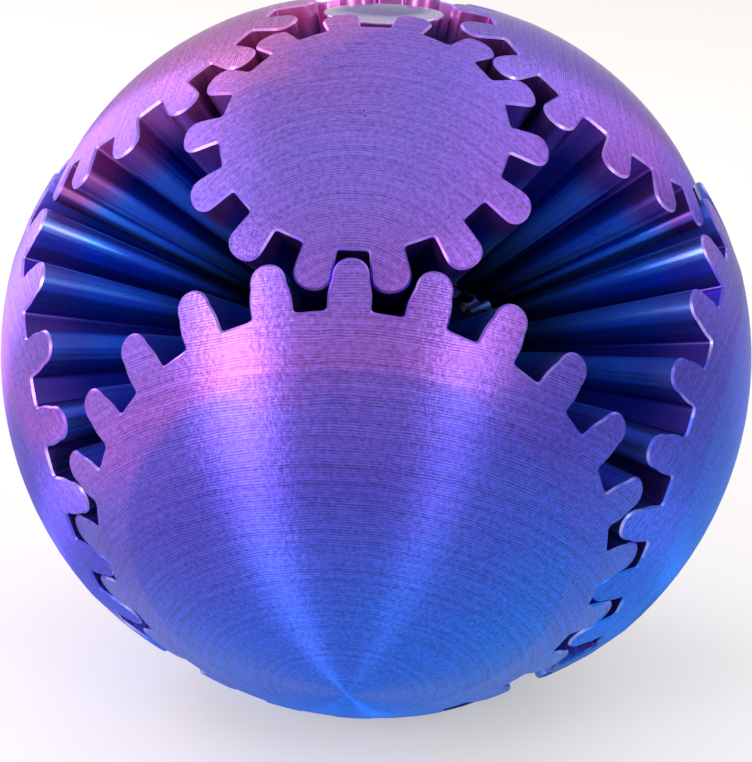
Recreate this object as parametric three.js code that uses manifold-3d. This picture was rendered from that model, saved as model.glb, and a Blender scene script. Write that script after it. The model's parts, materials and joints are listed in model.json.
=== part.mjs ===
// A ball of eight meshing bevel gears round a hidden hub: four small gears round the top and
// four big ones below them. Every gear's axis passes through the ball's centre, so all of them
// turn together when one is turned.
//
// Millimetres and radians. +Z is up and -Y is the front. The origin is the middle of the flat
// under the foot, and the ball's centre stands straight above it.

import * as THREE from 'three';
import { mergeVertices } from 'three/addons/utils/BufferGeometryUtils.js';
import Module from 'manifold-3d';

const wasm = await Module();
wasm.setup();

// ---- Driving dimensions ----

const BALL_RADIUS = 30;
const SMALL_TEETH = 14;
const BIG_TEETH = 22;
const PRESSURE_ANGLE = THREE.MathUtils.degToRad(17);

const FLANK_GAP = 0.3;                        // between two meshing flanks, at the ball's surface
const CLEARANCE = 0.3;                        // between neighbouring pieces that touch or turn
const FOOT_RADIUS = 0.975 * BALL_RADIUS;      // the round side of the foot
const GEAR_INNER_RADIUS = 0.36 * BALL_RADIUS; // the teeth's inner ends, from the ball's centre
const CENTRE_HEIGHT = 0.935 * BALL_RADIUS;    // the ball's centre above the foot's flat

const HUB_RADIUS = 8.5;
const HUB_FLAT = 8;                           // the hub's flats, from the ball's centre
const PIN_RADIUS = 1.5;
const PIN_INNER_END = 5.8;
const PIN_OUTER_END = 19.6;
const GROOVE_START = 17.2;                    // the groove that holds the snap ring
const GROOVE_END = 18.4;
const WASHER_THICKNESS = 0.7;
const WASHER_RADIUS = 3.2;
const FLANGE_THICKNESS = 0.45;
const FLANGE_RADIUS = 3.4;
const SLEEVE_RADIUS = 2.45;
const SLEEVE_END = 16.9;
const FOOT_POST_RADIUS = 3;

const CAP_STEM_RADIUS = 1.1;
const CAP_DOME_RADIUS = 0.925 * BALL_RADIUS;
const FOOT_TOP = 22.8;                        // from the ball's centre down to the foot's upper side
const FOOT_POST_END = 24.7;
const HOLE_GAP = 0.4;                         // from the top cap and the foot to the teeth round them

const ROUND_SIDES = 12;                       // sides of each small turned piece
const CAP_SIDES = 36;                         // sides of the foot and the top cap

// ---- Gear pitch cones ----

// On a sphere, the sine of a pitch angle is in proportion to the number of teeth. Each ring of
// four equal gears closes when the sine of its axes' lean from the vertical is root two times
// the sine of the pitch angle. The two rings meet when the angle between the axes of a small
// gear and the big gear below it is the sum of their pitch angles.
function leans(sinePerTooth) {
  const smallPitch = Math.asin(sinePerTooth * SMALL_TEETH);
  const bigPitch = Math.asin(sinePerTooth * BIG_TEETH);
  const smallLean = Math.asin(Math.SQRT2 * Math.sin(smallPitch));
  const bigLean = Math.PI - Math.asin(Math.SQRT2 * Math.sin(bigPitch));
  return { smallPitch, bigPitch, smallLean, bigLean };
}

function closingSinePerTooth() {
  let low = 0;
  let high = 1 / (Math.SQRT2 * BIG_TEETH);
  const halvings = 50;
  for (let step = 0; step < halvings; step += 1) {
    const middle = (low + high) / 2;
    const { smallPitch, bigPitch, smallLean, bigLean } = leans(middle);
    if (bigLean - smallLean > smallPitch + bigPitch) low = middle;
    else high = middle;
  }
  return low;
}

const SINE_PER_TOOTH = closingSinePerTooth();
const MODULE_ANGLE = 2 * SINE_PER_TOOTH;      // the tooth module, as an angle at the centre
const { smallPitch, bigPitch, smallLean, bigLean } = leans(SINE_PER_TOOTH);

// Tooth heights above and below the pitch circle are in modules. Each gear's face is a crown
// that ends in a flatter band, and the band falls to the rim at the tooth tips.
const SMALL = {
  size: 'small',
  teeth: SMALL_TEETH,
  lean: smallLean,
  pitch: smallPitch,
  tip: smallPitch + 0.45 * MODULE_ANGLE,
  root: smallPitch - 1.3 * MODULE_ANGLE,
  crownRadius: 0.97 * BALL_RADIUS,
  bandStart: THREE.MathUtils.degToRad(16),
  bandRadius: 0.965 * BALL_RADIUS,
  rimRadius: 0.955 * BALL_RADIUS,
  meshSide: -Math.PI / 2,                     // meets the big gear at its lower side
  colour: 0x8a55c8,
};
const BIG = {
  size: 'big',
  teeth: BIG_TEETH,
  lean: bigLean,
  pitch: bigPitch,
  tip: bigPitch + 0.95 * MODULE_ANGLE,
  root: bigPitch - 1.1 * MODULE_ANGLE,
  crownRadius: BALL_RADIUS,
  bandStart: THREE.MathUtils.degToRad(32),
  bandRadius: 0.993 * BALL_RADIUS,
  rimRadius: 0.975 * BALL_RADIUS,
  meshSide: Math.PI / 2,                      // meets the small gear at its upper side
  colour: 0x4a4fc8,
};

const SIDES = [
  { place: 'front', azimuth: 0 },
  { place: 'right', azimuth: Math.PI / 2 },
  { place: 'back', azimuth: Math.PI },
  { place: 'left', azimuth: -Math.PI / 2 },
];

// ---- Materials ----

function metal(colour, roughness) {
  return new THREE.MeshStandardMaterial({ color: colour, roughness, metalness: 1 });
}

const steel = () => metal(0xb8bcc4, 0.3);
const bronze = () => metal(0xb98a4a, 0.4);
const anodised = (colour) => metal(colour, 0.35);

// ---- Closed solids and cuts ----

function toSolid(geometry) {
  const bare = geometry.clone();
  bare.deleteAttribute('normal');
  bare.deleteAttribute('uv');
  const welded = mergeVertices(bare);
  const corners = welded.index.array;
  const triangles = [];
  for (let first = 0; first < corners.length; first += 3) {
    const [a, b, c] = corners.slice(first, first + 3);
    if (a !== b && b !== c && c !== a) triangles.push(a, b, c);
  }
  const vertProperties = welded.attributes.position.array;
  const triVerts = Uint32Array.from(triangles);
  return new wasm.Manifold(new wasm.Mesh({ numProp: 3, vertProperties, triVerts }));
}

function toGeometry(solid) {
  const mesh = solid.getMesh();
  const geometry = new THREE.BufferGeometry();
  geometry.setAttribute('position', new THREE.BufferAttribute(mesh.vertProperties, 3));
  geometry.setIndex(new THREE.BufferAttribute(mesh.triVerts, 1));
  return geometry;
}

function cut(geometry, tools) {
  let solid = toSolid(geometry);
  for (const tool of tools) solid = solid.subtract(toSolid(tool));
  return toGeometry(solid);
}

// A turned solid about +Z from [radius, height] corners, listed from its lower end upwards.
function turned(corners, sides) {
  const profile = corners.map(([radius, height]) => new THREE.Vector2(radius, height));
  return new THREE.LatheGeometry(profile, sides).rotateX(Math.PI / 2);
}

// Turned corners along an arc about the origin, from one lean off the +Z axis to another.
function arcCorners(radius, fromLean, toLean, steps) {
  const corners = [];
  for (let step = 0; step <= steps; step += 1) {
    const lean = fromLean + ((toLean - fromLean) * step) / steps;
    corners.push([radius * Math.sin(lean), radius * Math.cos(lean)]);
  }
  return corners;
}

// ---- Gears ----

// How far a spherical involute has turned about the axis where it reaches a polar angle.
function involuteTurn(base, polar) {
  if (polar <= base) return 0;
  const rolled = Math.acos(Math.cos(polar) / Math.cos(base)) / Math.sin(base);
  return rolled - Math.acos(Math.tan(base) / Math.tan(polar));
}

// Half the angle that a tooth fills about the gear's axis, at a polar angle from that axis.
function toothHalfAngle(gear, polar) {
  const base = Math.asin(Math.sin(gear.pitch) * Math.cos(PRESSURE_ANGLE));
  const relief = FLANK_GAP / 2 / BALL_RADIUS / Math.sin(gear.pitch);
  const atPitch = Math.PI / (2 * gear.teeth) - relief;
  return atPitch + involuteTurn(base, gear.pitch) - involuteTurn(base, polar);
}

// The toothed outline once round: each corner has a polar angle and an angle about the axis.
function toothOutline(gear, firstTooth) {
  const tipRounding = 0.62;
  const flank = [
    { polar: gear.root, half: toothHalfAngle(gear, gear.root) },
    { polar: gear.pitch, half: toothHalfAngle(gear, gear.pitch) },
    { polar: gear.tip, half: tipRounding * toothHalfAngle(gear, gear.tip) },
  ];
  const outline = [];
  for (let tooth = 0; tooth < gear.teeth; tooth += 1) {
    const middle = firstTooth + (2 * Math.PI * tooth) / gear.teeth;
    for (const { polar, half } of flank) outline.push({ polar, turn: middle - half });
    for (const { polar, half } of flank.toReversed()) outline.push({ polar, turn: middle + half });
  }
  return outline;
}

// The height of a gear's face above the ball's centre: a crown, then a band down to the tips.
function faceRadius(gear, polar) {
  if (polar > gear.bandStart) {
    const outwards = (polar - gear.bandStart) / (gear.tip - gear.bandStart);
    return THREE.MathUtils.lerp(gear.bandRadius, gear.rimRadius, outwards);
  }
  const inwards = polar / gear.bandStart;
  return THREE.MathUtils.lerp(gear.crownRadius, gear.bandRadius, inwards * inwards);
}

function place(radius, polar, turn) {
  return new THREE.Vector3(
    radius * Math.sin(polar) * Math.cos(turn),
    radius * Math.sin(polar) * Math.sin(turn),
    radius * Math.cos(polar),
  );
}

function roundLoop(count, start, pointAt) {
  const loop = [];
  for (let step = 0; step < count; step += 1) {
    const turn = start + (2 * Math.PI * step) / count;
    loop.push({ turn, point: pointAt(turn) });
  }
  return loop;
}

// Joins a stack of loops about +Z, lowest first, and closes both ends with a fan to the axis.
function skinned(bottomPoint, loops, topPoint) {
  const positions = [];
  const triangle = (...points) => {
    for (const point of points) positions.push(point.x, point.y, point.z);
  };
  const wrapped = (loop, step) => loop[step % loop.length].point;
  const turnAt = (loop, step) => loop[step % loop.length].turn + (step >= loop.length ? 2 * Math.PI : 0);

  const lowest = loops[0];
  lowest.forEach((_, step) => triangle(bottomPoint, wrapped(lowest, step + 1), wrapped(lowest, step)));

  for (let level = 1; level < loops.length; level += 1) {
    const lower = loops[level - 1];
    const upper = loops[level];
    let low = 0;
    let high = 0;
    while (low < lower.length || high < upper.length) {
      const lowerIsNext = turnAt(lower, low + 1) <= turnAt(upper, high + 1);
      if (high === upper.length || (low < lower.length && lowerIsNext)) {
        triangle(wrapped(lower, low), wrapped(lower, low + 1), wrapped(upper, high));
        low += 1;
      } else {
        triangle(wrapped(lower, low), wrapped(upper, high + 1), wrapped(upper, high));
        high += 1;
      }
    }
  }

  const highest = loops[loops.length - 1];
  highest.forEach((_, step) => triangle(wrapped(highest, step), wrapped(highest, step + 1), topPoint));

  const geometry = new THREE.BufferGeometry();
  geometry.setAttribute('position', new THREE.Float32BufferAttribute(positions, 3));
  return geometry;
}

// The blind bore for the bushing, the groove for the snap ring and the room for the pin's end.
const BUSHING_SEAT = 10;
const boreRadius = SLEEVE_RADIUS + CLEARANCE;
const boreGrooveRadius = boreRadius + 0.55;
const boreEndRadius = PIN_RADIUS + 0.6;

function boreTool() {
  const below = 2;
  const endGap = 0.6;
  return turned([
    [0, BUSHING_SEAT - below],
    [boreRadius, BUSHING_SEAT - below],
    [boreRadius, GROOVE_START],
    [boreGrooveRadius, GROOVE_START],
    [boreGrooveRadius, GROOVE_END],
    [boreEndRadius, GROOVE_END],
    [boreEndRadius, PIN_OUTER_END + endGap],
    [0, PIN_OUTER_END + endGap],
  ], ROUND_SIDES);
}

// A gear whose axis is +Z, with the ball's centre at the origin.
function gearGeometry(gear, firstTooth) {
  const outline = toothOutline(gear, firstTooth);
  const toothedLoop = (radiusAt) => outline.map(({ polar, turn }) => (
    { turn, point: place(radiusAt(polar), polar, turn) }
  ));
  const start = outline[0].turn;
  const faceLoop = (polar, count) => (
    roundLoop(count, start, (turn) => place(faceRadius(gear, polar), polar, turn))
  );
  const seatRadius = 3.7;
  const seatLoop = roundLoop(ROUND_SIDES * 2, start, (turn) => (
    new THREE.Vector3(seatRadius * Math.cos(turn), seatRadius * Math.sin(turn), BUSHING_SEAT)
  ));
  const body = skinned(
    new THREE.Vector3(0, 0, BUSHING_SEAT),
    [
      seatLoop,
      toothedLoop(() => GEAR_INNER_RADIUS),
      toothedLoop((polar) => faceRadius(gear, polar)),
      faceLoop(gear.bandStart, 2 * gear.teeth),
      faceLoop(gear.bandStart / 2, gear.teeth),
    ],
    new THREE.Vector3(0, 0, gear.crownRadius),
  );
  return cut(body, [boreTool()]);
}

// The front and back big gears hold a tooth up and the side ones a gap, so neighbours mesh. The
// small gears do the opposite at their lower sides.
function firstToothTurn(gear, azimuth) {
  const facesFrontOrBack = Math.abs(Math.sin(azimuth)) < 0.5;
  const toothAtMesh = gear === BIG ? facesFrontOrBack : !facesFrontOrBack;
  return gear.meshSide + (toothAtMesh ? 0 : Math.PI / gear.teeth);
}

// ---- Pieces on each axle, along +Z from the ball's centre ----

const washerStart = HUB_FLAT + CLEARANCE;
const flangeEnd = BUSHING_SEAT - CLEARANCE;
const runningRadius = PIN_RADIUS + CLEARANCE;
const pinGrooveRadius = PIN_RADIUS - 0.35;

function pinGeometry() {
  const chamfer = 0.3;
  return turned([
    [0, PIN_INNER_END],
    [PIN_RADIUS, PIN_INNER_END],
    [PIN_RADIUS, GROOVE_START],
    [pinGrooveRadius, GROOVE_START],
    [pinGrooveRadius, GROOVE_END],
    [PIN_RADIUS, GROOVE_END],
    [PIN_RADIUS, PIN_OUTER_END - chamfer],
    [PIN_RADIUS - chamfer, PIN_OUTER_END],
    [0, PIN_OUTER_END],
  ], ROUND_SIDES);
}

function washerGeometry() {
  return turned([
    [runningRadius, washerStart],
    [WASHER_RADIUS, washerStart],
    [WASHER_RADIUS, washerStart + WASHER_THICKNESS],
    [runningRadius, washerStart + WASHER_THICKNESS],
    [runningRadius, washerStart],
  ], ROUND_SIDES);
}

function bushingGeometry() {
  return turned([
    [runningRadius, flangeEnd - FLANGE_THICKNESS],
    [FLANGE_RADIUS, flangeEnd - FLANGE_THICKNESS],
    [FLANGE_RADIUS, flangeEnd],
    [SLEEVE_RADIUS, flangeEnd],
    [SLEEVE_RADIUS, SLEEVE_END],
    [runningRadius, SLEEVE_END],
    [runningRadius, flangeEnd - FLANGE_THICKNESS],
  ], ROUND_SIDES);
}

// A split ring: it sits in the pin's groove and reaches into the groove inside the gear.
function snapRingGeometry() {
  const innerRadius = pinGrooveRadius + CLEARANCE;
  const outerRadius = boreGrooveRadius - CLEARANCE;
  const halfSplit = THREE.MathUtils.degToRad(20);
  const ring = new THREE.Shape();
  ring.absarc(0, 0, outerRadius, halfSplit, 2 * Math.PI - halfSplit, false);
  ring.absarc(0, 0, innerRadius, 2 * Math.PI - halfSplit, halfSplit, true);
  ring.closePath();
  const depth = GROOVE_END - GROOVE_START - 2 * CLEARANCE;
  const geometry = new THREE.ExtrudeGeometry(ring, { depth, bevelEnabled: false, curveSegments: 7 });
  const splitUp = Math.PI / 2;
  return geometry.rotateZ(splitUp).translate(0, 0, GROOVE_START + CLEARANCE);
}

// ---- Hub, top cap and foot ----

// Points a shape that lies along +Z out along a gear's axis.
function turnToAxis(object, lean, azimuth) {
  object.rotation.set(lean, 0, azimuth, 'ZYX');
  object.updateMatrix();
  return object;
}

// A bore and a flat at one place on the hub, along +Z.
function hubSeatTool(radius) {
  const boreFloor = PIN_INNER_END - CLEARANCE;
  const flatRadius = radius + 1.6;
  return turned([
    [0, boreFloor],
    [radius, boreFloor],
    [radius, HUB_FLAT],
    [flatRadius, HUB_FLAT],
    [flatRadius, HUB_RADIUS + 1],
    [0, HUB_RADIUS + 1],
  ], ROUND_SIDES);
}

// The hole between the four small gears, and the one between the four big ones.
const topHoleLean = SMALL.lean - SMALL.tip;
const bottomHoleLean = Math.PI - BIG.lean - BIG.tip;

function hubGeometry() {
  const across = 20;
  const down = 12;
  const ball = new THREE.SphereGeometry(HUB_RADIUS, across, down).rotateX(Math.PI / 2);
  const seats = [
    hubSeatTool(CAP_STEM_RADIUS + CLEARANCE),
    hubSeatTool(FOOT_POST_RADIUS + CLEARANCE).rotateX(Math.PI),
  ];
  for (const gear of [SMALL, BIG]) {
    for (const { azimuth } of SIDES) {
      const { matrix } = turnToAxis(new THREE.Object3D(), gear.lean, azimuth);
      seats.push(hubSeatTool(runningRadius).applyMatrix4(matrix));
    }
  }
  return cut(ball, seats);
}

// A stem that widens with the hole round it and ends in a shallow dome.
function topCapGeometry() {
  const domeLean = topHoleLean - HOLE_GAP / CAP_DOME_RADIUS;
  const shoulder = 1;
  const neckHeight = GEAR_INNER_RADIUS;
  const shoulderHeight = CAP_DOME_RADIUS * Math.cos(domeLean) - shoulder;
  const domeSteps = 4;
  const dome = arcCorners(CAP_DOME_RADIUS, domeLean, 0, domeSteps);
  return turned([
    [0, PIN_INNER_END],
    [CAP_STEM_RADIUS, PIN_INNER_END],
    [CAP_STEM_RADIUS, neckHeight],
    [shoulderHeight * Math.tan(topHoleLean) - HOLE_GAP, shoulderHeight],
    ...dome,
  ], CAP_SIDES);
}

const footFlatLean = Math.acos(CENTRE_HEIGHT / FOOT_RADIUS);
const footRimLean = bottomHoleLean - HOLE_GAP / FOOT_RADIUS;

// The foot points along +Z here and is turned over when it is placed.
function footCapGeometry() {
  const socketRadius = FOOT_POST_RADIUS + CLEARANCE;
  const socketFloor = FOOT_POST_END + CLEARANCE;
  const skirtSteps = 5;
  const skirt = arcCorners(FOOT_RADIUS, footRimLean, footFlatLean, skirtSteps);
  return turned([
    [0, socketFloor],
    [socketRadius, socketFloor],
    [socketRadius, FOOT_TOP],
    [FOOT_TOP * Math.tan(footRimLean), FOOT_TOP],
    ...skirt,
    [0, CENTRE_HEIGHT],
  ], CAP_SIDES);
}

function footPostGeometry() {
  return turned([
    [0, PIN_INNER_END],
    [FOOT_POST_RADIUS, PIN_INNER_END],
    [FOOT_POST_RADIUS, FOOT_POST_END],
    [0, FOOT_POST_END],
  ], ROUND_SIDES);
}

// ---- Assembly ----

function piece(name, geometry, material) {
  const mesh = new THREE.Mesh(geometry, material);
  mesh.name = name;
  return mesh;
}

function axleGroup(gear, side) {
  const suffix = `${gear.size}_${side.place}`;
  const group = turnToAxis(new THREE.Group(), gear.lean, side.azimuth);
  const toothed = gearGeometry(gear, firstToothTurn(gear, side.azimuth));
  group.add(
    piece(`gear_${suffix}`, toothed, anodised(gear.colour)),
    piece(`bushing_${suffix}`, bushingGeometry(), bronze()),
    piece(`axle_pin_${suffix}`, pinGeometry(), steel()),
    piece(`thrust_washer_${suffix}`, washerGeometry(), steel()),
    piece(`snap_ring_${suffix}`, snapRingGeometry(), steel()),
  );
  return group;
}

function footGroup() {
  const group = new THREE.Group();
  group.rotation.x = Math.PI;
  group.add(
    piece('foot_post', footPostGeometry(), steel()),
    piece('foot_cap', footCapGeometry(), anodised(0x2f5fc0)),
  );
  return group;
}

const ball = new THREE.Group();
ball.position.z = CENTRE_HEIGHT;
ball.add(piece('hub', hubGeometry(), steel()));
ball.add(piece('top_cap', topCapGeometry(), anodised(0x9a86d8)));
ball.add(footGroup());
for (const gear of [SMALL, BIG]) {
  for (const side of SIDES) ball.add(axleGroup(gear, side));
}

export default ball;
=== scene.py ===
"""Looks for the gear ball: eight finely cut bevel gears in anodised metal on a pale floor.

Everything is in metres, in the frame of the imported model. Gear axes and the ball's centre come
from its joints. The gears here are the same spherical involute gears with fine flanks, rounded
tips, broken edges and turned faces.
"""

import json
import math

import bmesh
import bpy
from mathutils import Matrix, Vector


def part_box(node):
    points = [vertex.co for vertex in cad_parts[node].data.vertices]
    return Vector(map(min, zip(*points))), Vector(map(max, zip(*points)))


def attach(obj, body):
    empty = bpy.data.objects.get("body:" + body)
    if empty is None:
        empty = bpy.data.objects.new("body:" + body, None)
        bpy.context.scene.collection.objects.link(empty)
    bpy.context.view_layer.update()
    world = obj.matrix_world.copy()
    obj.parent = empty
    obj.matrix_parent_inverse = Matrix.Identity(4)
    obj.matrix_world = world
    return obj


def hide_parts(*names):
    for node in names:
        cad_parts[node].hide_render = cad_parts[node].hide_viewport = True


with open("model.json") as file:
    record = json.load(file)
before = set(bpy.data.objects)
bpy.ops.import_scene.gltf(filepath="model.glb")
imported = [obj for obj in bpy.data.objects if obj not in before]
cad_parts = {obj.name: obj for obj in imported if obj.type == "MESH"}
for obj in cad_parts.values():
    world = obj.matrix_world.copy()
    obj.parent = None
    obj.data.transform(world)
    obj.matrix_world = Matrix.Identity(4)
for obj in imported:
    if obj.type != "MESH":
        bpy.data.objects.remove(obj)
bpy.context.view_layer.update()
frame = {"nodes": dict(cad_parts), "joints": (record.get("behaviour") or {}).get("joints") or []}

# ---- Sizes ----

MM = 0.001
JOINTS = {joint["name"]: joint for joint in frame["joints"]}
CENTRE = Vector(JOINTS["big_front_spin"]["pos_m"])
BALL_RADIUS = CENTRE.z / 0.935
GEAR_INNER_RADIUS = 0.36 * BALL_RADIUS
FOOT_RADIUS = 0.975 * BALL_RADIUS
PRESSURE_ANGLE = math.radians(17)
FLANK_GAP = 0.14 * MM
EDGE_BREAK = 0.16 * MM
MERGE_DISTANCE = 0.0001 * MM
MARK_SPACING = 0.2 * MM
STREAKS_PER_RADIAN = 34
SIDES = ("front", "right", "back", "left")


def lean_of(size):
    """How far a gear's axis leans from the vertical."""
    return math.acos(JOINTS[f"{size}_front_spin"]["axis"][2])


def gear_kind(size, teeth, addendum, dedendum, crown, band, rim, band_start, mark_tilt):
    """One kind of gear. Tooth heights are in modules, radii in ball radii and angles in degrees."""
    lean = lean_of(size)
    pitch = math.asin(math.sin(lean) / math.sqrt(2))
    module = 2 * math.sin(pitch) / teeth
    return {
        "size": size,
        "teeth": teeth,
        "lean": lean,
        "pitch": pitch,
        "tip": pitch + addendum * module,
        "root": pitch - dedendum * module,
        "crown": crown * BALL_RADIUS,
        "band": band * BALL_RADIUS,
        "rim": rim * BALL_RADIUS,
        "band_start": math.radians(band_start),
        "mark_tilt": math.radians(mark_tilt),
    }


SMALL = gear_kind("small", 14, 0.45, 1.3, 0.97, 0.965, 0.955, 16, 33)
BIG = gear_kind("big", 22, 0.95, 1.1, 1.0, 0.993, 0.975, 32, 24)


# ---- Mesh helpers ----

def new_mesh_object(name, points, faces):
    mesh = bpy.data.meshes.new(name)
    mesh.from_pydata([tuple(point) for point in points], [], faces)
    merged = bmesh.new()
    merged.from_mesh(mesh)
    bmesh.ops.remove_doubles(merged, verts=merged.verts, dist=MERGE_DISTANCE)
    merged.to_mesh(mesh)
    merged.free()
    mesh.validate()
    mesh.shade_smooth()
    mesh.set_sharp_from_angle(angle=math.radians(32))
    piece = bpy.data.objects.new(name, mesh)
    bpy.context.scene.collection.objects.link(piece)
    return piece


def skin(first_point, loops, last_point):
    """Points and faces of a closed skin over loops about +Z. A loop is a list of (turn, point)."""
    points = [first_point]
    starts = []
    for loop in loops:
        starts.append(len(points))
        points.extend(point for _, point in loop)
    points.append(last_point)
    last = len(points) - 1
    faces = []

    lowest = loops[0]
    for step in range(len(lowest)):
        following = (step + 1) % len(lowest)
        faces.append((0, starts[0] + following, starts[0] + step))

    for level in range(1, len(loops)):
        lower, upper = loops[level - 1], loops[level]
        low_start, high_start = starts[level - 1], starts[level]
        if len(lower) == len(upper):
            for step in range(len(lower)):
                following = (step + 1) % len(lower)
                faces.append((low_start + step, low_start + following,
                              high_start + following, high_start + step))
        else:
            faces.extend(zipped(lower, low_start, upper, high_start))

    highest = loops[-1]
    for step in range(len(highest)):
        following = (step + 1) % len(highest)
        faces.append((starts[-1] + step, starts[-1] + following, last))
    return points, faces


def zipped(lower, low_start, upper, high_start):
    """Triangles between two loops with different numbers of points, paired by turn."""
    def turn_at(loop, step):
        return loop[step % len(loop)][0] + (2 * math.pi if step >= len(loop) else 0)

    faces = []
    low = high = 0
    while low < len(lower) or high < len(upper):
        lower_is_next = turn_at(lower, low + 1) <= turn_at(upper, high + 1)
        low_index = low_start + low % len(lower)
        high_index = high_start + high % len(upper)
        if high == len(upper) or (low < len(lower) and lower_is_next):
            low += 1
            faces.append((low_index, low_start + low % len(lower), high_index))
        else:
            high += 1
            faces.append((low_index, high_start + high % len(upper), high_index))
    return faces


def placed(radius, polar, turn):
    """A point at a distance from the ball's centre, at a polar angle and a turn about +Z."""
    return Vector((
        radius * math.sin(polar) * math.cos(turn),
        radius * math.sin(polar) * math.sin(turn),
        radius * math.cos(polar),
    ))


def round_loop(count, start, point_at):
    loop = []
    for step in range(count):
        turn = start + 2 * math.pi * step / count
        loop.append((turn, point_at(turn)))
    return loop


def ring_loop(count, start, radius, height):
    return round_loop(count, start, lambda turn: Vector(
        (radius * math.cos(turn), radius * math.sin(turn), height)))


def axis_matrix(lean, azimuth):
    """Takes a shape that lies along +Z from the origin out along a gear's axis."""
    turn = Matrix.Rotation(azimuth, 4, "Z")
    tilt = Matrix.Rotation(lean, 4, "X")
    return Matrix.Translation(CENTRE) @ turn @ tilt


# ---- Gear geometry ----

def involute_turn(base, polar):
    if polar <= base:
        return 0.0
    rolled = math.acos(math.cos(polar) / math.cos(base)) / math.sin(base)
    return rolled - math.acos(math.tan(base) / math.tan(polar))


def tooth_half_angle(kind, polar):
    """Half the angle that a tooth fills about its gear's axis, at a polar angle from it."""
    base = math.asin(math.sin(kind["pitch"]) * math.cos(PRESSURE_ANGLE))
    relief = FLANK_GAP / 2 / BALL_RADIUS / math.sin(kind["pitch"])
    at_pitch = math.pi / (2 * kind["teeth"]) - relief
    return at_pitch + involute_turn(base, kind["pitch"]) - involute_turn(base, polar)


def half_tooth(kind):
    """(polar, half angle) from the middle of a gap to the middle of a tip: a flat gap floor with
    tight corners, the involute flank and a round tip. The corners and the tip are quarter
    superellipses."""
    floor_squareness = 5.5
    tip_squareness = 2.15
    round_steps = 7
    flank_steps = 3
    half_pitch = math.pi / kind["teeth"]
    height = kind["tip"] - kind["root"]
    floor_top = kind["root"] + 0.16 * height
    tip_base = kind["tip"] - 0.4 * height
    floor_half = tooth_half_angle(kind, floor_top)
    tip_half = tooth_half_angle(kind, tip_base)
    corners = []
    for step in range(round_steps):
        angle = math.pi / 2 * step / round_steps
        across = math.sin(angle) ** (2 / floor_squareness)
        down = math.cos(angle) ** (2 / floor_squareness)
        corners.append((floor_top - down * (floor_top - kind["root"]),
                        half_pitch - across * (half_pitch - floor_half)))
    for step in range(flank_steps):
        polar = floor_top + (tip_base - floor_top) * step / flank_steps
        corners.append((polar, tooth_half_angle(kind, polar)))
    for step in range(round_steps):
        angle = math.pi / 2 * step / round_steps
        up = math.sin(angle) ** (2 / tip_squareness)
        across = math.cos(angle) ** (2 / tip_squareness)
        corners.append((tip_base + up * (kind["tip"] - tip_base), across * tip_half))
    return corners


def tooth_outline(kind, first_tooth):
    """(polar, turn) once round the gear, starting in the middle of a gap."""
    rising = half_tooth(kind)
    outline = []
    for tooth in range(kind["teeth"]):
        middle = first_tooth + 2 * math.pi * tooth / kind["teeth"]
        outline.extend((polar, middle - half) for polar, half in rising)
        outline.append((kind["tip"], middle))
        outline.extend((polar, middle + half) for polar, half in reversed(rising[1:]))
    return outline


def inset(outline, distance):
    """The outline moved inwards by a distance on the ball's surface."""
    flat = [Vector((polar * math.cos(turn), polar * math.sin(turn))) for polar, turn in outline]
    moved = []
    for step, (polar, turn) in enumerate(outline):
        along = (flat[(step + 1) % len(flat)] - flat[step - 1]).normalized()
        inward = Vector((-along.y, along.x))
        point = flat[step] + inward * distance / BALL_RADIUS
        turned = math.atan2(point.y, point.x)
        turned += 2 * math.pi * round((turn - turned) / (2 * math.pi))
        moved.append((point.length, turned))
    return moved


def face_radius(kind, polar):
    """Distance of a gear's face from the ball's centre: a crown, then a band down to the tips."""
    if polar > kind["band_start"]:
        outwards = (polar - kind["band_start"]) / (kind["tip"] - kind["band_start"])
        return kind["band"] + (kind["rim"] - kind["band"]) * outwards
    inwards = polar / kind["band_start"]
    return kind["crown"] + (kind["band"] - kind["crown"]) * inwards * inwards


def face_loops(kind, outline):
    """Loops over a gear's face, from its broken edge to near the axis."""
    rim_steps = 4
    crown_steps = 12
    break_width = math.radians(0.25)
    edge = inset(outline, EDGE_BREAK)
    disc = kind["root"] - math.radians(1.2)
    polars_list = [edge]
    for step in range(1, rim_steps + 1):
        share = step / rim_steps
        polars_list.append([(polar + (disc - polar) * share, turn) for polar, turn in edge])
    inner = [disc]
    if kind["band_start"] < disc:
        inner += [kind["band_start"] + break_width, kind["band_start"], kind["band_start"] - break_width]
    nearest = inner[-1]
    inner += [nearest * (1 - step / crown_steps) for step in range(1, crown_steps)]
    for polar in inner[1:]:
        polars_list.append([(polar, turn) for _, turn in edge])
    return [[(turn, placed(face_radius(kind, polar), polar, turn)) for polar, turn in row]
            for row in polars_list]


def bore_loops(start):
    """The blind bore that holds the bushing, from its closed end to the gear's inner face."""
    sides = 48
    steps = (
        (2.1, 20.2), (2.1, 18.4), (3.3, 18.4), (3.3, 17.2), (2.75, 17.2), (2.75, 10.15), (2.9, 10.0), (3.7, 10.0),
    )
    return [ring_loop(sides, start, radius * MM, height * MM) for radius, height in steps]


def gear_mesh(name, kind, first_tooth):
    outline = tooth_outline(kind, first_tooth)
    start = outline[0][1]
    flank_loops = []
    for share in (0.0, 0.5, 1.0):
        row = []
        for polar, turn in outline:
            outer = face_radius(kind, polar) - EDGE_BREAK
            row.append((turn, placed(GEAR_INNER_RADIUS + (outer - GEAR_INNER_RADIUS) * share, polar, turn)))
        flank_loops.append(row)
    end_polar = kind["root"] - math.radians(0.4)
    end_rim = [(turn, placed(GEAR_INNER_RADIUS, end_polar, turn)) for _, turn in outline]
    loops = bore_loops(start) + [end_rim] + flank_loops + face_loops(kind, outline)
    bore_end = Vector((0, 0, 20.2 * MM))
    points, faces = skin(bore_end, loops, Vector((0, 0, kind["crown"])))
    return new_mesh_object(name, points, faces)


# ---- Materials ----

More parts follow.
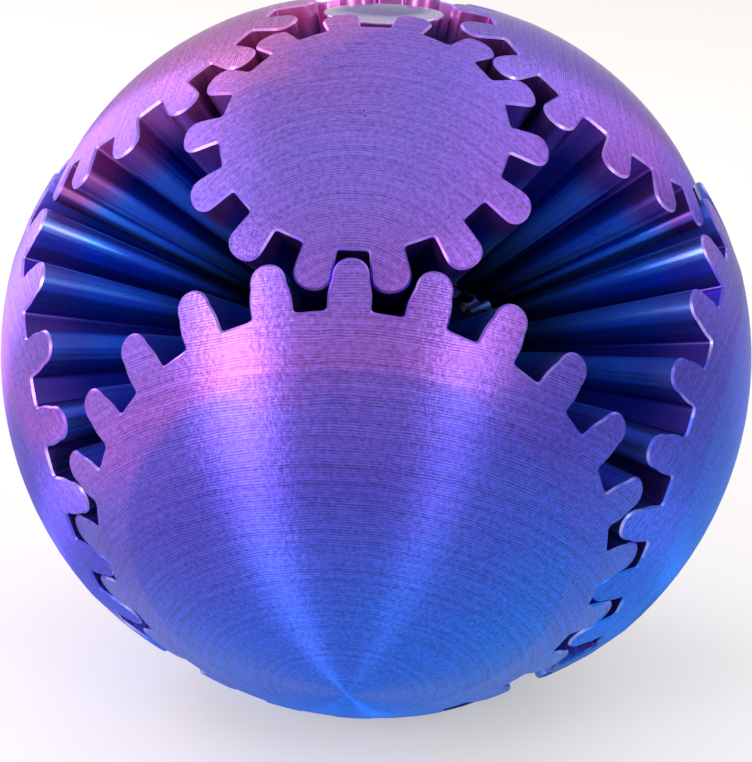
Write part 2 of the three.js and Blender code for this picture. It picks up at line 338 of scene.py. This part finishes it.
def link(tree, source, target):
    tree.links.new(source, target)


def math_node(tree, operation, first, second=None):
    node = tree.nodes.new("ShaderNodeMath")
    node.operation = operation
    for socket, value in zip(node.inputs, (first, second)):
        if value is None:
            continue
        if isinstance(value, (int, float)):
            socket.default_value = value
        else:
            link(tree, value, socket)
    return node.outputs["Value"]


def vector_node(tree, operation, first, second=None):
    node = tree.nodes.new("ShaderNodeVectorMath")
    node.operation = operation
    for socket, value in zip(node.inputs, (first, second)):
        if value is None:
            continue
        if isinstance(value, (tuple, Vector)):
            socket.default_value = tuple(value)
        else:
            link(tree, value, socket)
    return node.outputs["Value" if operation in ("DOT_PRODUCT", "LENGTH") else "Vector"]


def noise_node(tree, scale, detail, dimensions="3D", vector=None, w=None):
    node = tree.nodes.new("ShaderNodeTexNoise")
    node.noise_dimensions = dimensions
    node.inputs["Scale"].default_value = scale
    node.inputs["Detail"].default_value = detail
    if vector is not None:
        link(tree, vector, node.inputs["Vector"])
    if w is not None:
        link(tree, w, node.inputs["W"])
    return node.outputs["Fac"]


def ramp_node(tree, factor, stops):
    node = tree.nodes.new("ShaderNodeValToRGB")
    ramp = node.color_ramp
    while len(ramp.elements) < len(stops):
        ramp.elements.new(0.5)
    for element, (position, colour) in zip(ramp.elements, stops):
        element.position = position
        element.color = (*colour, 1)
    link(tree, factor, node.inputs["Fac"])
    return node.outputs["Color"]


def mix_node(tree, factor, first, second, blend="MIX"):
    node = tree.nodes.new("ShaderNodeMix")
    node.data_type = "RGBA"
    node.blend_type = blend
    for socket, value in (
        (node.inputs["Factor"], factor), (node.inputs["A"], first), (node.inputs["B"], second),
    ):
        if isinstance(value, (int, float)):
            socket.default_value = value
        elif isinstance(value, tuple):
            socket.default_value = (*value, 1)
        else:
            link(tree, value, socket)
    return node.outputs["Result"]


def spread(tree, value, low, high, to_low, to_high):
    node = tree.nodes.new("ShaderNodeMapRange")
    node.clamp = True
    link(tree, value, node.inputs["Value"])
    for name, number in (("From Min", low), ("From Max", high), ("To Min", to_low), ("To Max", to_high)):
        node.inputs[name].default_value = number
    return node.outputs["Result"]


def metal_material(name):
    material = bpy.data.materials.new(name)
    material.use_nodes = True
    tree = material.node_tree
    shader = tree.nodes["Principled BSDF"]
    shader.inputs["Metallic"].default_value = 1.0
    place = tree.nodes.new("ShaderNodeTexCoord").outputs["Object"]
    from_centre = vector_node(tree, "SUBTRACT", place, CENTRE)
    return material, tree, shader, from_centre


def mark_frame(mark_axis):
    """Two directions at right angles to a mark axis and to each other."""
    first = mark_axis.orthogonal().normalized()
    return first, mark_axis.cross(first)


def polar_angle(tree, outwards, axis):
    """The angle at the ball's centre between a point and an axis."""
    return math_node(tree, "ARCCOSINE", vector_node(tree, "DOT_PRODUCT", outwards, axis))


def turning_marks(tree, from_centre, mark_axis):
    """Rings about a mark axis. Returns their height from -1 to 1, fine streaks along them, and the
    direction across them."""
    first, second = mark_frame(mark_axis)
    outwards = vector_node(tree, "NORMALIZE", from_centre)
    angle = math_node(tree, "MULTIPLY", polar_angle(tree, outwards, mark_axis), BALL_RADIUS / MARK_SPACING)
    wobble = spread(tree, noise_node(tree, 300.0, 2.0, vector=from_centre), 0.3, 0.7, -0.4, 0.4)
    marks = math_node(tree, "ADD", angle, wobble)
    wave = math_node(tree, "SINE", math_node(tree, "MULTIPLY", marks, 2 * math.pi))

    turn = math_node(
        tree, "ARCTAN2",
        vector_node(tree, "DOT_PRODUCT", outwards, first),
        vector_node(tree, "DOT_PRODUCT", outwards, second),
    )
    place = tree.nodes.new("ShaderNodeCombineXYZ")
    link(tree, marks, place.inputs["X"])
    link(tree, math_node(tree, "MULTIPLY", turn, STREAKS_PER_RADIAN), place.inputs["Y"])
    streaks = spread(tree, noise_node(tree, 1.0, 3.0, vector=place.outputs["Vector"]), 0.25, 0.75, -1.0, 1.0)
    depth = spread(tree, noise_node(tree, 0.22, 2.0, "1D", w=marks), 0.3, 0.7, 0.25, 1.0)
    coarse = spread(tree, noise_node(tree, 0.5, 1.0, "1D", w=marks), 0.3, 0.7, -1.0, 1.0)
    fine = math_node(tree, "MULTIPLY", math_node(tree, "MULTIPLY", wave, depth), 0.75)
    rings = math_node(tree, "ADD", fine, math_node(tree, "MULTIPLY", coarse, 0.25))
    along = vector_node(tree, "NORMALIZE", vector_node(tree, "CROSS_PRODUCT", outwards, mark_axis))
    across = vector_node(tree, "CROSS_PRODUCT", along, outwards)
    return rings, streaks, across, outwards


def to_world(tree, direction):
    node = tree.nodes.new("ShaderNodeVectorTransform")
    node.vector_type = "VECTOR"
    node.convert_from = "OBJECT"
    node.convert_to = "WORLD"
    link(tree, direction, node.inputs["Vector"])
    return node.outputs["Vector"]


def bump_node(tree, height, strength, distance):
    node = tree.nodes.new("ShaderNodeBump")
    node.inputs["Strength"].default_value = strength
    node.inputs["Distance"].default_value = distance
    link(tree, height, node.inputs["Height"])
    return node.outputs["Normal"]


# From the blue underside to the pink upper left: (height along the direction below, colour).
# Partly the oxide's own colour and partly painted light: the pink towards the upper left is a painted reflection
# of pink light from above.
OXIDE_AND_LIGHT_DIRECTION = Vector((-0.3, 0.0, 0.8))
FACE_COLOURS = (
    # Painted shade: this darkest stop at the very bottom stands for the shadow where the ball sits on the floor.
    (-0.74, (0.005, 0.06, 0.30)),
    (-0.58, (0.01, 0.19, 0.84)),
    (-0.28, (0.055, 0.12, 0.70)),
    (0.00, (0.10, 0.082, 0.58)),
    (0.14, (0.16, 0.11, 0.66)),
    (0.28, (0.36, 0.14, 0.70)),
    (0.60, (0.32, 0.21, 1.00)),
    (0.74, (0.38, 0.20, 0.84)),
    (0.84, (0.75, 0.27, 0.76)),
)
# Flank colours from the root of a tooth to its tip, deep in the ball. Painted light: the dark root is painted
# shade in the gap floors and the bright tip a painted highlight on the crests.
FLANK_COLOURS = (
    (0.0, (0.03, 0.03, 0.22)),
    (0.15, (0.02, 0.06, 0.50)),
    (0.6, (0.01, 0.18, 0.86)),
    (1.0, (0.10, 0.36, 0.98)),
)
# Painted shade deep inside the ball, where the flanks run towards the gears' inner ends.
DEEP_SHADE = (0.004, 0.012, 0.08)
# Near the faces the flanks turn purple, and towards the top they take a painted pink reflection of the light from
# above. The big gears show less of it.
PURPLE = (0.17, 0.07, 0.40)
PINK = (0.62, 0.17, 0.46)
PURPLE_SHARE = {"small": 1.0, "big": 0.4}


def oxide_and_light_height(tree, from_centre, outwards):
    """How far towards the pink upper left, where a reflection of pink light is painted, a point lies, from -1 to
    1, with a slow cloudiness.
    """
    cloud = noise_node(tree, 70.0, 3.0, vector=from_centre)
    height = vector_node(tree, "DOT_PRODUCT", outwards, OXIDE_AND_LIGHT_DIRECTION)
    return math_node(tree, "ADD", height, spread(tree, cloud, 0.3, 0.7, -0.07, 0.07))


def oxide_and_light_colour(tree, height):
    """The anodised colour at a height towards the upper left, with painted light in it: a painted pink reflection
    at the top and painted shade at the bottom.
    """
    lowest, highest = FACE_COLOURS[0][0], FACE_COLOURS[-1][0]
    stops = [((level - lowest) / (highest - lowest), colour) for level, colour in FACE_COLOURS]
    return ramp_node(tree, spread(tree, height, lowest, highest, 0.0, 1.0), stops)


def grey(tree, value):
    node = tree.nodes.new("ShaderNodeCombineColor")
    for socket in node.inputs:
        link(tree, value, socket)
    return node.outputs["Color"]


def band_pink_reflection(tree, outwards, kind, gear_axis):
    """Painted reflection: the band round a big gear's face tilts upwards and is painted pinker than its crown,
    for the pink light from above that it catches.
    """
    edge = kind["band_start"]
    blur = math.radians(1)
    return spread(tree, polar_angle(tree, outwards, gear_axis), edge - blur, edge + blur, 0.0, 0.09)


def face_material(name, mark_axis, kind=None, gear_axis=None):
    """Turned and anodised: fine rings, a sheen that fans across them and a slow drift of colour, partly the
    oxide's own and partly painted light: a painted pink reflection towards the upper left and painted shade at
    the bottom.
    """
    material, tree, shader, from_centre = metal_material(name)
    rings, streaks, across, outwards = turning_marks(tree, from_centre, mark_axis)
    height = oxide_and_light_height(tree, from_centre, outwards)
    # Painted pink reflection on the band of the big gears.
    if kind is BIG:
        height = math_node(tree, "ADD", height, band_pink_reflection(tree, outwards, kind, gear_axis))
    colour = oxide_and_light_colour(tree, height)
    grain = spread(tree, noise_node(tree, 3500.0, 2.0, vector=from_centre), 0.3, 0.7, -0.3, 0.3)
    lines = math_node(
        tree, "ADD", math_node(tree, "MULTIPLY", rings, 0.65), math_node(tree, "MULTIPLY", streaks, 0.3))
    texture = math_node(tree, "ADD", lines, grain)
    shade = spread(tree, texture, -1.0, 1.0, 0.3, 1.6)
    link(tree, mix_node(tree, 1.0, colour, grey(tree, shade), "MULTIPLY"), shader.inputs["Base Color"])
    link(tree, spread(tree, streaks, -1.0, 1.0, 0.38, 0.50), shader.inputs["Roughness"])
    shader.inputs["Anisotropic"].default_value = 0.95
    link(tree, to_world(tree, across), shader.inputs["Tangent"])
    link(tree, bump_node(tree, texture, 0.8, 0.015 * MM), shader.inputs["Normal"])
    return material


def flank_material(name, kind, gear_axis):
    """Cut tooth flanks: smoother and bluer than the faces, with faint marks along the tooth. Their colour holds
    painted light: painted shade in the gap floors and deep in the ball, a painted highlight on the crests and a
    painted pink reflection towards the top.
    """
    material, tree, shader, from_centre = metal_material(name)
    outwards = vector_node(tree, "NORMALIZE", from_centre)
    polar = polar_angle(tree, outwards, gear_axis)
    streaks = noise_node(tree, 45.0, 1.0, vector=outwards)
    grain = noise_node(tree, 2500.0, 2.0, vector=from_centre)
    rise = spread(tree, polar, kind["root"], kind["tip"], 0.0, 1.0)
    rise = math_node(tree, "ADD", rise, spread(tree, streaks, 0.3, 0.7, -0.06, 0.06))
    # Painted shade at the roots of the teeth, painted highlight at their tips.
    deep = ramp_node(tree, rise, FLANK_COLOURS)
    height = oxide_and_light_height(tree, from_centre, outwards)
    # Painted pink reflection towards the upper left, over the purple of the oxide.
    near_face = mix_node(tree, spread(tree, height, 0.5, 0.85, 0.0, 1.0), PURPLE, PINK)
    distance = vector_node(tree, "LENGTH", from_centre)
    share = spread(tree, distance, 0.82 * BALL_RADIUS, 0.9 * BALL_RADIUS, 0.0, PURPLE_SHARE[kind["size"]])
    # Painted shade: deeper into the ball the flanks fade to the darkest colour.
    lit = spread(tree, distance, 0.4 * BALL_RADIUS, 0.66 * BALL_RADIUS, 0.0, 1.0)
    colour = mix_node(tree, share, mix_node(tree, lit, DEEP_SHADE, deep), near_face)
    link(tree, colour, shader.inputs["Base Color"])
    link(tree, spread(tree, streaks, 0.3, 0.7, 0.24, 0.36), shader.inputs["Roughness"])
    shader.inputs["Metallic"].default_value = 0.92
    texture = math_node(tree, "ADD", streaks, math_node(tree, "MULTIPLY", grain, 0.3))
    link(tree, bump_node(tree, texture, 0.06, 0.015 * MM), shader.inputs["Normal"])
    return material


def edge_material(name):
    """Broken edges, a little paler than the faces in patches: a painted highlight for the glints of light along
    the edges.
    """
    material, tree, shader, from_centre = metal_material(name)
    edge_glint_noise = noise_node(tree, 400.0, 3.0, vector=from_centre)
    outwards = vector_node(tree, "NORMALIZE", from_centre)
    colour = oxide_and_light_colour(tree, oxide_and_light_height(tree, from_centre, outwards))
    # Painted highlight: pale glints along the broken edges.
    pale = mix_node(tree, spread(tree, edge_glint_noise, 0.45, 0.7, 0.0, 0.5), colour, (0.75, 0.62, 0.95))
    link(tree, pale, shader.inputs["Base Color"])
    link(tree, spread(tree, edge_glint_noise, 0.3, 0.7, 0.48, 0.34), shader.inputs["Roughness"])
    return material


def bare_metal(name, colour, roughness):
    """Turned bare metal for the pieces inside: fine cloudy polish, no coating."""
    material, tree, shader, from_centre = metal_material(name)
    cloud = noise_node(tree, 900.0, 3.0, vector=from_centre)
    dark = tuple(0.7 * part for part in colour)
    link(tree, mix_node(tree, cloud, dark, colour), shader.inputs["Base Color"])
    link(tree, spread(tree, cloud, 0.3, 0.7, roughness - 0.06, roughness + 0.06), shader.inputs["Roughness"])
    return material


# ---- Gears in place ----

def gear_axis(size, side):
    return Vector(JOINTS[f"{size}_{side}_spin"]["axis"])


def first_tooth_turn(kind, side):
    """The front and back big gears hold a tooth up and the side ones a gap; the small gears do
    the opposite at their lower sides."""
    front_or_back = side in ("front", "back")
    mesh_side = math.pi / 2 if kind is BIG else -math.pi / 2
    tooth_at_mesh = front_or_back if kind is BIG else not front_or_back
    return mesh_side + (0 if tooth_at_mesh else math.pi / kind["teeth"])


def make_gear(kind, side):
    size = kind["size"]
    name = f"{size}_gear_{side}"
    piece = gear_mesh(name, kind, first_tooth_turn(kind, side))
    azimuth = SIDES.index(side) * math.pi / 2
    piece.data.transform(axis_matrix(kind["lean"], azimuth))

    axis = gear_axis(size, side)
    upward = (Vector((0, 0, 1)) - axis * axis.z).normalized()
    mark_axis = axis * math.cos(kind["mark_tilt"]) - upward * math.sin(kind["mark_tilt"])
    piece.data.materials.append(face_material(f"{name}_face", mark_axis, kind, axis))
    piece.data.materials.append(flank_material(f"{name}_flanks", kind, axis))
    piece.data.materials.append(edge_material(f"{name}_edges"))
    # Painted shade: the inner ends, deep in the ball, get near-black metal so that they read as dark.
    piece.data.materials.append(bare_metal(f"{name}_inner_end_shade", (0.02, 0.03, 0.12), 0.5))
    for polygon in piece.data.polygons:
        facing = polygon.normal.dot((polygon.center - CENTRE).normalized())
        slots = (("face", 0.93), ("edge", 0.2), ("flank", -0.5))
        found = [order for order, (_, least) in enumerate(slots) if facing > least]
        polygon.material_index = (0, 2, 1)[found[0]] if found else 3

    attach(piece, f"{size}_{side}_gear")
    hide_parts(f"gear_{size}_{side}")
    return piece


for kind in (SMALL, BIG):
    for side in SIDES:
        make_gear(kind, side)


# ---- Top cap and foot ----

def arc_corners(radius, from_lean, to_lean, steps):
    """(radius, height) corners along an arc about the ball's centre, between two leans from +Z."""
    corners = []
    for step in range(steps + 1):
        lean = from_lean + (to_lean - from_lean) * step / steps
        corners.append((radius * math.sin(lean), radius * math.cos(lean)))
    return corners


def rounded(corners, radius):
    """A profile with each inner corner replaced by a small curve."""
    steps = 4
    soft = [Vector(corners[0])]
    for before, corner, after in zip(corners, corners[1:], corners[2:]):
        corner = Vector(corner)
        ends = []
        for neighbour in (Vector(before), Vector(after)):
            away = neighbour - corner
            ends.append(corner + away.normalized() * min(radius, 0.4 * away.length))
        for step in range(steps + 1):
            share = step / steps
            first = ends[0].lerp(corner, share)
            second = corner.lerp(ends[1], share)
            soft.append(first.lerp(second, share))
    soft.append(Vector(corners[-1]))
    return soft


def turned_piece(name, corners, overturned):
    """A turned solid whose profile runs from its lower end on the axis to its upper end."""
    sides = 144
    profile = rounded(corners, 0.25 * MM)
    loops = [ring_loop(sides, 0, radius, height) for radius, height in profile[1:-1]]
    points, faces = skin(Vector((0, 0, profile[0].y)), loops, Vector((0, 0, profile[-1].y)))
    piece = new_mesh_object(name, points, faces)
    piece.data.transform(axis_matrix(math.pi if overturned else 0, 0))
    return piece


def make_top_cap():
    low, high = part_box("top_cap")
    rim = high[0]
    stem = 1.1 * MM
    dome_radius = high[2] - CENTRE.z
    rim_lean = math.asin(rim / dome_radius)
    rim_height = dome_radius * math.cos(rim_lean)
    corners = [
        (0, low[2] - CENTRE.z),
        (stem, low[2] - CENTRE.z),
        (stem, GEAR_INNER_RADIUS),
        (0.96 * rim, rim_height - 1 * MM),
        *arc_corners(dome_radius, rim_lean, 0, 10),
    ]
    piece = turned_piece("cap_top", corners, overturned=False)
    piece.data.materials.append(cap_material("cap_top_polished", rim_lean))
    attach(piece, "core")
    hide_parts("top_cap")


def make_foot():
    low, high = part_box("foot_cap")
    top = CENTRE.z - high[2]
    rim_lean = math.asin(high[0] / FOOT_RADIUS)
    flat_lean = math.acos(CENTRE.z / FOOT_RADIUS)
    socket = 3.3 * MM
    socket_floor = 25.0 * MM
    corners = [
        (0, socket_floor),
        (socket, socket_floor),
        (socket, top),
        (top * math.tan(rim_lean), top),
        *arc_corners(FOOT_RADIUS, rim_lean, flat_lean, 10),
        (0, CENTRE.z),
    ]
    piece = turned_piece("foot_turned", corners, overturned=True)
    piece.data.materials.append(face_material("foot_turned_face", Vector((0, 0, -1))))
    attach(piece, "core")
    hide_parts("foot_cap")


def cap_material(name, rim_lean):
    """Polished and lightly anodised: violet in the middle, silvery towards the rim."""
    material, tree, shader, from_centre = metal_material(name)
    rings, streaks, _, _ = turning_marks(tree, from_centre, Vector((0, 0, 1)))
    cloud = spread(tree, noise_node(tree, 200.0, 3.0, vector=from_centre), 0.3, 0.7, -0.02, 0.02)
    lean = polar_angle(tree, vector_node(tree, "NORMALIZE", from_centre), Vector((0, 0, 1)))
    lean = math_node(tree, "ADD", lean, cloud)
    rim = spread(tree, lean, 0.6 * rim_lean, 0.85 * rim_lean, 0.0, 1.0)
    colour = mix_node(tree, rim, (0.20, 0.13, 0.50), (0.64, 0.57, 0.86))
    link(tree, colour, shader.inputs["Base Color"])
    link(tree, spread(tree, streaks, -1.0, 1.0, 0.22, 0.32), shader.inputs["Roughness"])
    link(tree, bump_node(tree, rings, 0.1, 0.005 * MM), shader.inputs["Normal"])
    return material


make_top_cap()
make_foot()


# ---- Pieces inside ----

steel = bare_metal("blued_steel", (0.10, 0.13, 0.30), 0.32)
hub_steel = bare_metal("anodised_hub", (0.01, 0.03, 0.16), 0.5)
bronze = bare_metal("bearing_bronze", (0.55, 0.36, 0.18), 0.4)

for node_name, node in frame["nodes"].items():
    if node_name.startswith(("axle_pin", "thrust_washer", "snap_ring")):
        look = steel
    elif node_name.startswith("bushing"):
        look = bronze
    else:
        look = hub_steel
    node.data.materials.clear()
    node.data.materials.append(look)


# ---- Floor, lights and camera ----

def make_floor():
    size = 12.0
    bpy.ops.mesh.primitive_plane_add(size=size, location=(0, 0, 0))
    floor = bpy.context.object
    floor.name = "floor"
    material = bpy.data.materials.new("floor_white")
    material.use_nodes = True
    shader = material.node_tree.nodes["Principled BSDF"]
    shader.inputs["Base Color"].default_value = (0.62, 0.62, 0.57, 1)
    shader.inputs["Roughness"].default_value = 0.7
    shader.inputs["Emission Color"].default_value = (1, 1, 1, 1)
    shader.inputs["Emission Strength"].default_value = 0.38
    floor.data.materials.append(material)


def area_light(name, place, size, power, colour=(1, 1, 1)):
    data = bpy.data.lights.new(name, "AREA")
    data.shape = "RECTANGLE"
    data.size, data.size_y = size
    data.energy = power
    data.color = colour
    light = bpy.data.objects.new(name, data)
    light.location = place
    light.rotation_euler = (CENTRE - Vector(place)).to_track_quat("-Z", "Y").to_euler()
    bpy.context.scene.collection.objects.link(light)


def make_world():
    world = bpy.data.worlds.new("studio")
    world.use_nodes = True
    tree = world.node_tree
    direction = tree.nodes.new("ShaderNodeTexCoord").outputs["Generated"]
    height = vector_node(tree, "DOT_PRODUCT", direction, (0.0, 0.0, 1.0))
    link(tree, ramp_node(tree, spread(tree, height, 0.0, 1.0, 0.0, 1.0), (
        (0.0, (0.84, 0.84, 0.84)), (0.15, (0.6, 0.6, 0.6)), (0.5, (0.6, 0.6, 0.6)), (1.0, (0.8, 0.8, 0.8)),
    )), tree.nodes["Background"].inputs["Color"])
    bpy.context.scene.world = world


def make_camera():
    """The photograph's view: a little from the right and above, close enough for perspective."""
    azimuth = math.radians(4)
    elevation = math.radians(17.5)
    roll = math.radians(1.3)
    aim_up = math.radians(0.77)
    distance = 5.8 * BALL_RADIUS
    back = Vector((
        math.sin(azimuth) * math.cos(elevation),
        -math.cos(azimuth) * math.cos(elevation),
        math.sin(elevation),
    ))
    data = bpy.data.cameras.new("camera")
    data.sensor_fit = "HORIZONTAL"
    data.sensor_width = 36
    data.lens = 103
    data.clip_start = 0.01
    camera = bpy.data.objects.new("camera", data)
    camera.location = CENTRE + back * distance
    facing = (-back).to_track_quat("-Z", "Y").to_matrix()
    facing = facing @ Matrix.Rotation(roll, 3, "Z") @ Matrix.Rotation(-aim_up, 3, "X")
    camera.rotation_euler = facing.to_euler()
    bpy.context.scene.collection.objects.link(camera)
    bpy.context.scene.camera = camera


make_floor()
make_world()
area_light("left_strip", (-0.283, -0.337, 0.13), (0.15, 0.24), 1.35, (1.0, 0.8, 0.92))
area_light("right_strip", (0.246, -0.365, 0.18), (0.07, 0.30), 0.55)
area_light("rear_left_softbox", (-0.34, 0.22, 0.24), (0.25, 0.25), 0.85, (1.0, 0.72, 0.9))
area_light("rear_right_softbox", (0.24, 0.2, 0.34), (0.25, 0.25), 0.2, (1.0, 0.85, 0.95))
make_camera()
bpy.context.scene.view_settings.view_transform = "Standard"
